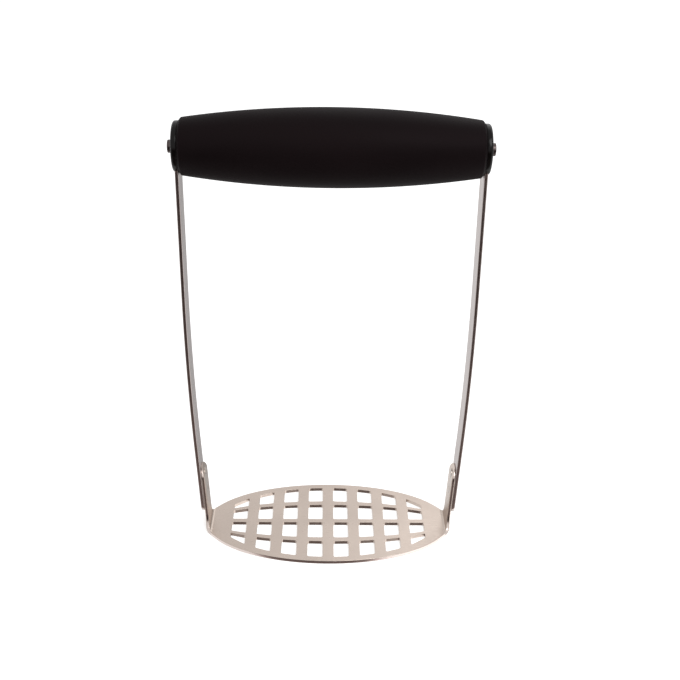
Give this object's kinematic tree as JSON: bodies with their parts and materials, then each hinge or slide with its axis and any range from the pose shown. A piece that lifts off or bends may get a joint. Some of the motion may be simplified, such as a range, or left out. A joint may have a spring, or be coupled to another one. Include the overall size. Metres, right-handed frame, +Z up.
{
  "type": "potato masher",
  "caption": "Potato masher with a horizontal barrel grip held between bowed flat straps, which carry an oval plate pierced with rows of holes.",
  "frame": {"origin": "centre of the mashing plate's underside", "axes": "+X along the handle to the right strap, +Y from front to back, +Z up from the plate to the grip"},
  "size_m": [0.1252, 0.0588, 0.1871],
  "materials": {
    "plate_steel": "satin stainless steel",
    "strap_steel": "satin stainless steel",
    "rivet_steel": "satin stainless steel",
    "grip_rubber": "matte soft black",
    "core_plastic": "as moulded, hidden",
    "cap_plastic": "polished black"
  },
  "bodies": {
    "root": {"mashing_plate": "plate_steel", "left_strap": "strap_steel", "right_strap": "strap_steel", "left_plate_rivets": "rivet_steel", "right_plate_rivets": "rivet_steel", "tie_rod": "rivet_steel", "grip_sleeve": "grip_rubber", "handle_core": "core_plastic", "left_end_cap": "cap_plastic", "right_end_cap": "cap_plastic"}
  },
  "joints": []
}
